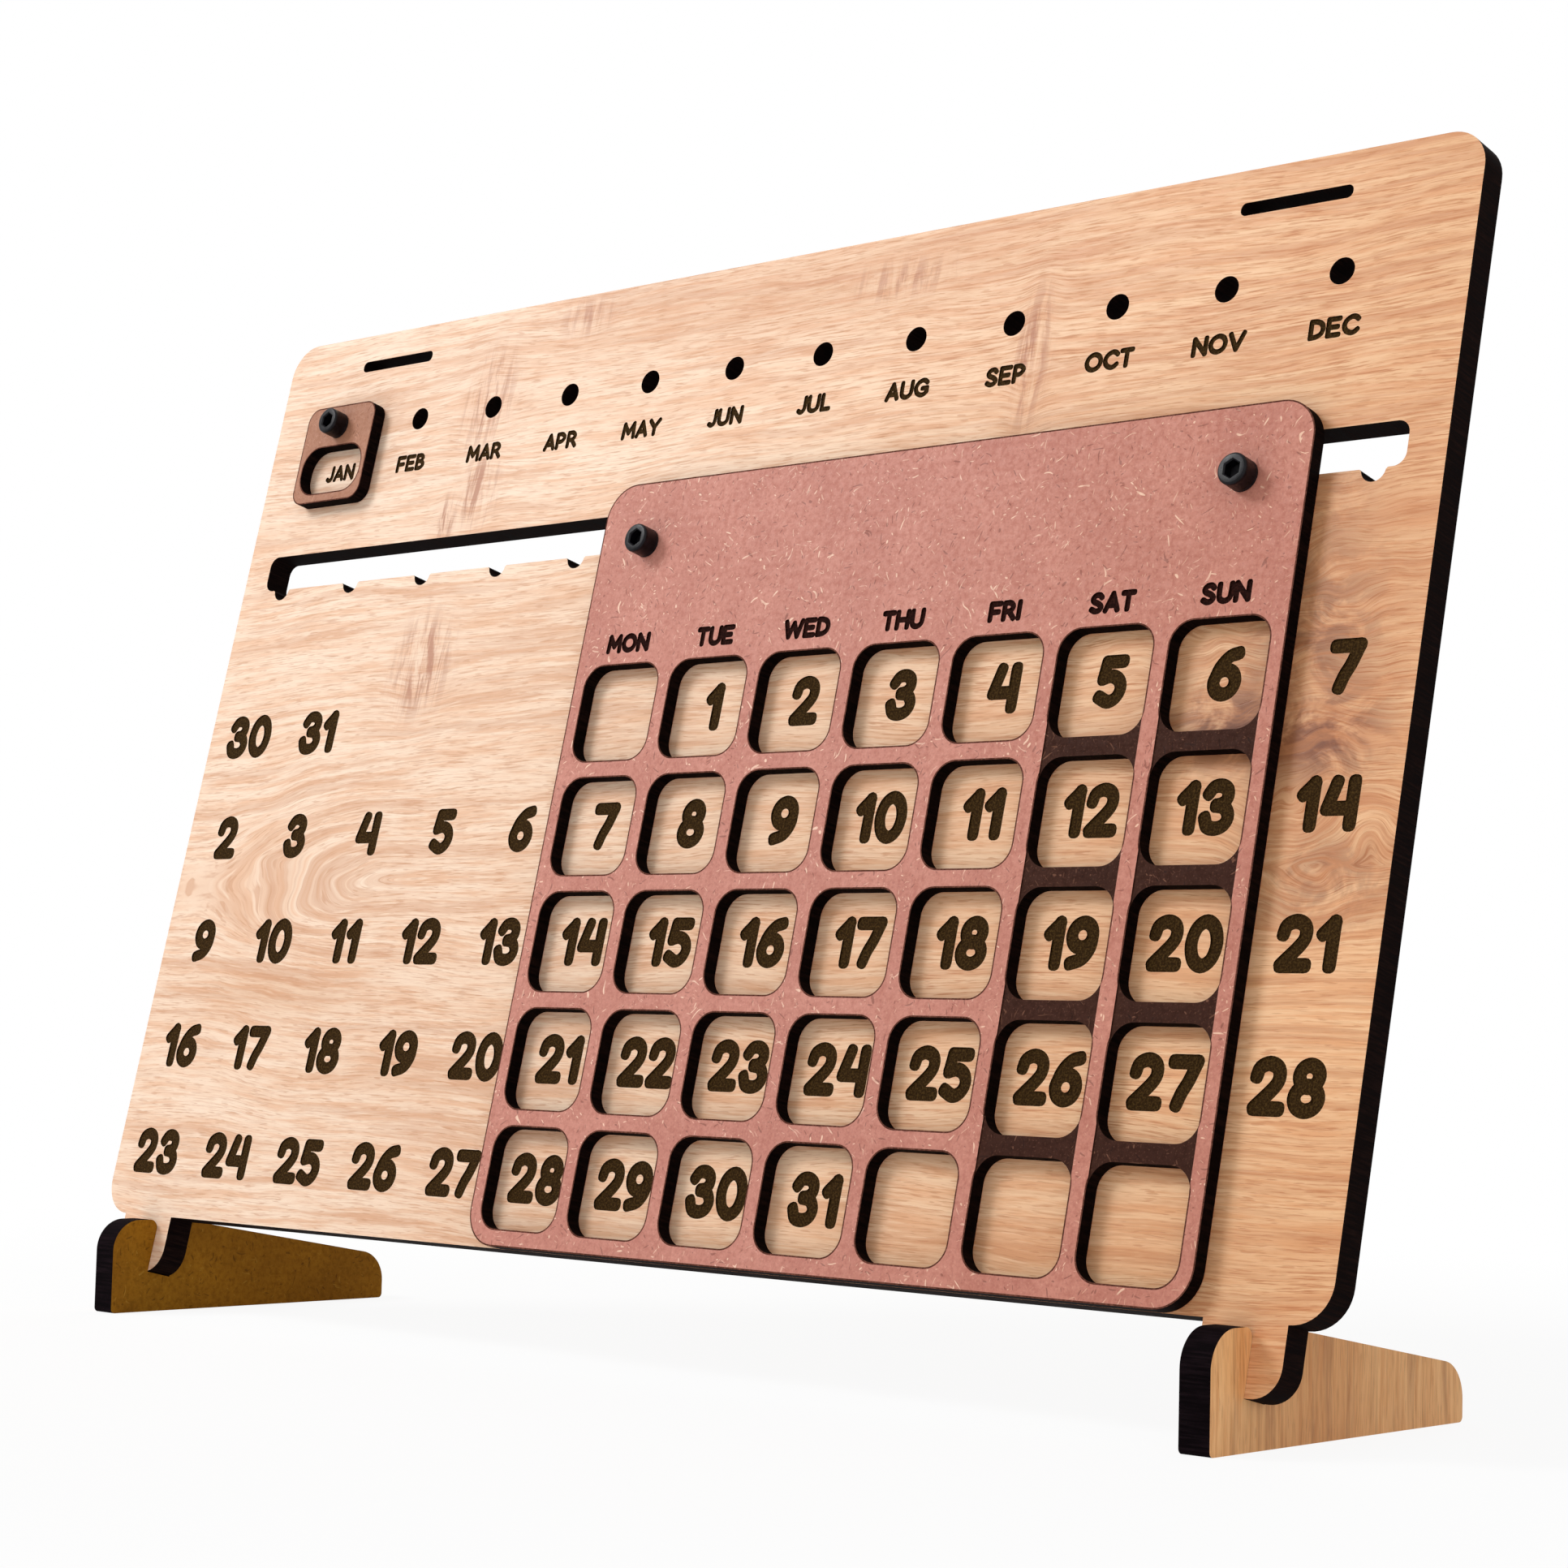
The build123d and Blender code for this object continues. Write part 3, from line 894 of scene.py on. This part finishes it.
board_face = oak(
    "board_face", srgb(254, 228, 204), srgb(241, 198, 165), srgb(212, 158, 122), BOARD_TONES_AND_SHADE,
    figure=9.0, fibre=1.0, knots=BOARD_KNOTS, stains_and_shadow=BOARD_STAINS_AND_SHADOW, swirls=BOARD_SWIRLS,
    pith=BOARD_PITH,
)
foot_face = oak(
    "foot_face", srgb(250, 194, 132), srgb(230, 166, 104), srgb(160, 100, 54), FOOT_TONES,
    figure=8.0, fibre=.45, lean=0.0, upright=True, sheet_origin=(0, 0, 0),
)
raw_back = fibreboard(
    "raw_back", srgb(146, 104, 56), srgb(120, 82, 40), srgb(178, 138, 88), srgb(84, 54, 26), .6
)
raw_foot = fibreboard(
    "raw_foot", srgb(160, 108, 24), srgb(112, 70, 12), srgb(178, 132, 48), srgb(70, 42, 8), .5,
    lean=0.0, gloss=.06, sideways=True,
)
# The week frame's face, with painted shade toward its right end
red_board = fibreboard(
    "red_board", srgb(212, 145, 129), srgb(180, 110, 96), srgb(250, 210, 186),
    srgb(112, 58, 46), 1.0, far=(.95, .89, .83, 1),
)
tag_board = fibreboard(
    "tag_board", srgb(179, 125, 98), srgb(156, 104, 79), srgb(216, 166, 140),
    srgb(118, 72, 56), .4,
)
band_board = fibreboard(
    "band_board", srgb(66, 37, 27), srgb(48, 26, 19), srgb(150, 104, 82),
    srgb(34, 19, 16), .5, gloss=.06,
)
board_edge = burnt("board_edge", srgb(10, 4, 4), srgb(34, 21, 18), .02)
frame_edge = burnt("frame_edge", srgb(8, 4, 4), srgb(30, 18, 15), .02)
foot_edge = burnt(
    "foot_edge", srgb(8, 4, 6), srgb(29, 20, 24), .02, lean=0.0, across=(.14, 2.2, 2.2)
)
charred = engraving("charred", srgb(84, 48, 38), srgb(132, 84, 70))
digit_floor = engraving("digit_floor", srgb(44, 28, 9), srgb(84, 62, 30))
digit_wall = burnt("digit_wall", srgb(22, 11, 4), srgb(44, 28, 12), .03)
word_floor = engraving("word_floor", srgb(28, 8, 5), srgb(56, 26, 20))
word_wall = burnt("word_wall", srgb(24, 8, 5), srgb(52, 26, 20), .03)
black_oxide = metal("black_oxide", srgb(5, 4, 6), srgb(20, 17, 24), .0, .24, .36, gloss=.16)
zinc = metal("zinc", srgb(176, 178, 182), srgb(206, 208, 212), 1.0, .24, .4)

# -------- the sheets
DIGIT_HEIGHT = 9.6
DIGIT_HALF = 0.138
DIGIT_GAP = 0.06
DIGIT_CAP_STEPS = 7
FIRST_ROW_Y = -74.4
DIGIT_ROW_PITCH = 24.2
WORD_HEIGHT = 3.85
WORD_HALF = 0.14
WEEKDAY_HALF = 0.155
WORD_GAP = 0.06
WORD_CAP_STEPS = 5
MONTH_LABEL_Y = -10.75
WEEKDAY_LABEL_Y = -60.45
ENGRAVING_DEPTH = 0.3
BAND_DEPTH = 0.2
BAND_INSET = 0.05
CHAR_WIDTH = 0.3
WINDOW_WIDTH = 21.0
WINDOW_HEIGHT = 20.5
WINDOW_R = 4.6
ROW_PITCH = 24.1
TOP_WINDOW_Y = -75.35

numbers = []
for row in range(WEEK_ROWS):
    for column in range(COLUMNS):
        day = column - 5 + 7 * row
        if row == 0 and column < 2:
            # The first row also has 30 and 31 at its left end
            day = 30 + column
        if 1 <= day <= 31:
            numbers += write(
                str(day), (column - 6) * PITCH, FIRST_ROW_Y - row * DIGIT_ROW_PITCH,
                DIGIT_HEIGHT, DIGIT_HALF, DIGIT_GAP, DIGIT_CAP_STEPS,
            )
for k, month in enumerate("JAN FEB MAR APR MAY JUN JUL AUG SEP OCT NOV DEC".split()):
    numbers += write(
        month, (k - 5.5) * PITCH, MONTH_LABEL_Y,
        WORD_HEIGHT, WORD_HALF, WORD_GAP, WORD_CAP_STEPS,
    )

panel = make_sheet(
    "panel", "base_panel", BOARD, 0.0, -BOARD_THICKNESS,
    [(loops, ENGRAVING_DEPTH, 4) for loops in numbers],
    [board_face, board_edge, raw_back, digit_wall, digit_floor],
)
dress(panel, "base_panel", "board")

frame_front = SLIDE_GAP + FRAME_THICKNESS
tag_front = SLIDE_GAP + TAG_THICKNESS
zones = []
# Bands between the windows of the two weekend columns
for column in (5, 6):
    x = FRAME_X + (column - 3) * PITCH
    for row in range(WEEK_ROWS - 1):
        top = TOP_WINDOW_Y - row * ROW_PITCH - WINDOW_HEIGHT / 2 + WINDOW_R
        low = TOP_WINDOW_Y - (row + 1) * ROW_PITCH + WINDOW_HEIGHT / 2 - WINDOW_R
        half = WINDOW_WIDTH / 2 - BAND_INSET
        band = np.array([(x - half, low), (x + half, low), (x + half, top), (x - half, top)])
        zones.append(([band], BAND_DEPTH, 5))
for k, day in enumerate("MON TUE WED THU FRI SAT SUN".split()):
    letters = write(
        day, FRAME_X + (k - 3) * PITCH, WEEKDAY_LABEL_Y,
        WORD_HEIGHT, WEEKDAY_HALF, WORD_GAP, WORD_CAP_STEPS,
    )
    zones += [(loops, ENGRAVING_DEPTH, 4) for loops in letters]
window_grid = make_sheet(
    "window_grid", "week_frame", BOARD, frame_front, SLIDE_GAP, zones,
    [red_board, frame_edge, red_board, word_wall, word_floor, band_board, charred],
    CHAR_WIDTH,
)
dress(window_grid, "week_frame", "week_frame")

tag = make_sheet(
    "tag", "month_marker", BOARD, tag_front, SLIDE_GAP, [],
    [tag_board, frame_edge, tag_board, charred], CHAR_WIDTH,
)
dress(tag, "month_marker", "month_tag")

for side, faces in (("left", (raw_foot, foot_face)), ("right", (foot_face, raw_foot))):
    low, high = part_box(f"{side}_foot")
    foot = make_sheet(
        f"foot_{side}", f"{side}_foot", FOOT, high.x / MM, low.x / MM, [],
        [faces[0], foot_edge, faces[1]],
    )
    dress(foot, f"{side}_foot", f"{side}_foot")

# -------- fasteners
# Profiles are (radius, height) pairs, and a radius below 0 marks a ring that is a hexagon
TURN = 48
FASTENER_SHARP_ANGLE = radians(35)
THREAD_PITCH = 0.7
THREAD_DEPTH = 0.28
THREAD_ROWS = 6
SHANK_R = 2.0
TIP_INSET = 0.5
TIP_HEIGHT = 0.45
NECK_HEIGHT = 0.3
HEAD_R = 3.05
HEAD_HEIGHT = 4.0
HEAD_EASE = 0.15
RIM_R = 0.45
RIM_STEPS = 4
KNURLS = 24
KNURL_DEPTH = 0.09
# Above the seat: where the knurl starts, is full, is still full and has ended
KNURL_LEVELS = (0.4, 0.45, 3.0, 3.1)
SOCKET_FLATS = 3.0
SOCKET_DEPTH = 2.2
SOCKET_POINT = 0.35
MOUTH_WIDTH = 0.24
MOUTH_DEPTH = 0.26
WEEK_SCREW_LENGTH = 16.0
MONTH_SCREW_LENGTH = 8.0
WASHER_R = 6.0
WASHER_BORE_R = 2.15
WASHER_THICKNESS = 1.0
WASHER_EASE = 0.12
NUT_FLATS = 7.0
NUT_HEIGHT = 3.2
NUT_BORE_R = 2.05
NUT_COUNTERSINK = 0.3
NUT_INSET = 0.12
NUT_CHAMFER = radians(60)
NUT_CHAMFER_ROWS = (0, .12, .25, .4, .6)
COLLAR_R = 3.2
COLLAR_HEIGHT = 1.4
COLLAR_BANDS = 3


def lathe(profile, radius_at=None):
    """Rings of points round the z axis, one for each pair of the profile."""
    rings = []
    for r, z in profile:
        ring_points = []
        for k in range(TURN):
            angle = 2 * pi * k / TURN
            reach = radius_at(r, z, angle) if radius_at else r
            ring_points.append((reach * cos(angle), reach * sin(angle), z))
        rings.append(ring_points)
    return rings


def skin(rings, closed):
    """Points and quads between rings. Rings that don't close on themselves get flat ends."""
    points = [p for ring_points in rings for p in ring_points]
    faces = []
    for i in range(len(rings) if closed else len(rings) - 1):
        j = (i + 1) % len(rings)
        for k in range(TURN):
            m = (k + 1) % TURN
            faces.append((i * TURN + k, i * TURN + m, j * TURN + m, j * TURN + k))
    if not closed:
        faces.append(tuple(range(TURN))[::-1])
        faces.append(tuple((len(rings) - 1) * TURN + k for k in range(TURN)))
    return points, faces


def fastener(name, x, y, points, faces, materials, tags=None):
    """A turned piece that stands on the board's face at x, y."""
    placed = BOARD.world([(x + px, y + py, pz) for px, py, pz in points])
    piece = add_piece(name, placed, faces, materials, tags or [0] * len(faces))
    work = bmesh.new()
    work.from_mesh(piece.data)
    bmesh.ops.recalc_face_normals(work, faces=work.faces)
    work.to_mesh(piece.data)
    work.free()
    piece.data.set_sharp_from_angle(angle=FASTENER_SHARP_ANGLE)
    return piece


def hexagon(across, angle):
    """Radius of a hexagon at an angle."""
    part = (angle + pi / 6) % (pi / 3) - pi / 6
    return across / 2 / cos(part)


def screw(name, x, y, seat, length):
    """Socket screw: knurled head with a rounded rim, hexagon socket and threaded shank."""
    end = seat - length
    top = seat + HEAD_HEIGHT

    def radius(r, z, angle):
        if z < seat - 1e-6:
            if r < SHANK_R:
                return r
            turn = (z / THREAD_PITCH - angle / (2 * pi)) % 1
            return SHANK_R - THREAD_DEPTH * abs(2 * turn - 1)
        if r < 0:
            return hexagon(-2 * r, angle)
        if r == HEAD_R and seat + KNURL_LEVELS[0] < z < seat + KNURL_LEVELS[3]:
            return HEAD_R - KNURL_DEPTH * (1 + cos(KNURLS * angle)) / 2
        return r

    profile = [(SHANK_R - TIP_INSET, end)]
    rows = ceil(length / THREAD_PITCH * THREAD_ROWS)
    row_height = (length - TIP_HEIGHT - NECK_HEIGHT) / rows
    profile += [(SHANK_R, end + TIP_HEIGHT + row_height * k) for k in range(rows + 1)]
    profile += [(SHANK_R - .06, seat - .05), (SHANK_R, seat)]
    profile += [(HEAD_R - HEAD_EASE, seat), (HEAD_R, seat + HEAD_EASE)]
    profile += [(HEAD_R, seat + level) for level in KNURL_LEVELS]
    for k in range(RIM_STEPS + 1):
        angle = pi / 2 * k / RIM_STEPS
        profile.append((HEAD_R - RIM_R * (1 - cos(angle)), top - RIM_R * (1 - sin(angle))))
    socket = SOCKET_FLATS / 2
    profile += [(-(socket + MOUTH_WIDTH), top), (-socket, top - MOUTH_DEPTH)]
    profile += [(-socket, top - SOCKET_DEPTH), (.05, top - SOCKET_DEPTH - SOCKET_POINT)]
    points, faces = skin(lathe(profile, radius), closed=False)
    return fastener(name, x, y, points, faces, [black_oxide])


def washer(name, x, y, front):
    rear = front - WASHER_THICKNESS
    bore, ease = WASHER_BORE_R, WASHER_EASE
    profile = [(bore, front - ease), (bore + ease, front)]
    profile += [(WASHER_R - ease, front), (WASHER_R, front - ease)]
    profile += [(WASHER_R, rear + ease), (WASHER_R - ease, rear)]
    profile += [(bore + ease, rear), (bore, rear + ease)]
    points, faces = skin(lathe(profile), closed=True)
    return fastener(name, x, y, points, faces, [zinc])


paint = Paint("nylon")
cloud = paint.noise(paint.place, (.8, .8, .8), 3, .6)
colour = paint.mix(paint.fade(cloud, .3, .7), srgb(214, 210, 196), srgb(232, 228, 214))
nylon = paint.finish(colour, .45, cloud, .02, .4, .4)


def nut(name, x, y, front):
    """Lock nut: chamfered hexagon, rounded collar with a plastic ring inside."""
    rear = front - NUT_HEIGHT
    end = rear - COLLAR_HEIGHT
    edge = NUT_FLATS / 2 - NUT_INSET

    def radius(r, z, angle):
        if r >= 0:
            return r
        reach = min(front - z, z - rear) + .02
        return min(hexagon(NUT_FLATS, angle), edge + reach * tan(NUT_CHAMFER))

    profile = [(NUT_BORE_R, front - NUT_COUNTERSINK), (NUT_BORE_R + NUT_COUNTERSINK, front)]
    profile += [(edge, front)]
    profile += [(-1, front - row) for row in NUT_CHAMFER_ROWS]
    profile += [(-1, rear + row) for row in NUT_CHAMFER_ROWS[::-1]]
    profile += [(COLLAR_R, rear), (COLLAR_R, end + .5), (COLLAR_R - .15, end + .15)]
    profile += [(COLLAR_R - .5, end)]
    first = len(profile) - 1
    profile += [(NUT_BORE_R + .12, end + .1), (NUT_BORE_R, end + .3), (NUT_BORE_R, rear)]
    points, faces = skin(lathe(profile, radius), closed=True)
    tags = [int(first <= f // TURN < first + COLLAR_BANDS) for f in range(len(faces))]
    return fastener(name, x, y, points, faces, [zinc, nylon], tags)


washer_front = -BOARD_THICKNESS - SLIDE_GAP
nut_front = washer_front - WASHER_THICKNESS
week_screws = (("left", FRAME_X - 3 * PITCH), ("right", FRAME_X + 3 * PITCH))
for side, x in week_screws:
    piece = screw(f"week_screw_{side}_detail", x, WEEK_SCREW_Y, frame_front, WEEK_SCREW_LENGTH)
    dress(piece, f"week_screw_{side}", "week_frame")
piece = screw("month_screw_detail", TAG_X, TAG_SCREW_Y, tag_front, MONTH_SCREW_LENGTH)
dress(piece, "month_screw", "month_screw")
for side, x in week_screws:
    piece = washer(f"washer_{side}", x, WEEK_SCREW_Y, washer_front)
    dress(piece, f"week_washer_{side}", "week_frame")
    piece = nut(f"lock_nut_{side}", x, WEEK_SCREW_Y, nut_front)
    dress(piece, f"week_nut_{side}", "week_frame")

# -------- stage
FLOOR_HALF = 6.0
# Share of plain white in the floor's background rays, from near the object outwards, in mm
WHITE_SHARE = 0.9
WHITE_FROM = 180
WHITE_TO = 460
WHITE = (1, 1, 1, 1)

scene = bpy.context.scene
floor_mesh = bpy.data.meshes.new("floor")
corners = [(x * FLOOR_HALF, y * FLOOR_HALF, 0) for x, y in ((-1, -1), (1, -1), (1, 1), (-1, 1))]
floor_mesh.from_pydata(corners, [], [(0, 1, 2, 3)])
floor = bpy.data.objects.new("floor", floor_mesh)
scene.collection.objects.link(floor)
ground = Paint("floor_paint", .0)
ground.finish(srgb(246, 246, 246), .9, gloss=.0)
glow = ground.add("Emission", Color=WHITE, Strength=1.0)
spread = ground.vector("LENGTH", ground.place)
share = ground.fade(spread, WHITE_FROM, WHITE_TO, WHITE_SHARE, 1)
share = ground.times(ground.background_rays(), share)
surface = ground.blend(share, ground.shader.outputs[0], glow.outputs[0])
ground.put(ground.output, "Surface", surface)
floor_mesh.materials.append(ground.material)

world = bpy.data.worlds.new("studio")
world.use_nodes = True
sky = Nodes(world.node_tree)
ambient = sky.add("Background", Color=(1.0, .985, .97, 1), Strength=.5)
white = sky.add("Background", Color=WHITE, Strength=1.0)
surface = sky.blend(sky.background_rays(), ambient.outputs[0], white.outputs[0])
sky.add("OutputWorld", Surface=surface)
scene.world = world


def lamp(name, place, aim, size, power):
    """A round soft lamp: metres and watts."""
    data = bpy.data.lights.new(name, "AREA")
    data.shape = "DISK"
    data.size = size
    data.energy = power
    thing = bpy.data.objects.new(name, data)
    thing.location = place
    thing.rotation_euler = (Vector(aim) - Vector(place)).to_track_quat("-Z", "Y").to_euler()
    scene.collection.objects.link(thing)


lamp("key", place=(-.75, -.70, .95), aim=(.0, .0, .12), size=.5, power=8.4)
lamp("fill", place=(.9, -.9, .5), aim=(.0, .0, .1), size=1.0, power=1.5)
lamp("rear", place=(-.5, 1.1, .8), aim=(.0, .0, .1), size=.8, power=4.0)

# The camera that the photograph was solved for
camera_data = bpy.data.cameras.new("camera")
camera_data.sensor_width = 36.0
camera_data.lens = 74.19
camera_data.clip_start = 0.01
camera = bpy.data.objects.new("camera", camera_data)
camera.location = (.44225, -.46607, .06710)
camera.rotation_euler = [radians(a) for a in (94.1863, -1.4166, 42.2172)]
scene.collection.objects.link(camera)
scene.camera = camera

scene.view_settings.view_transform = "Standard"
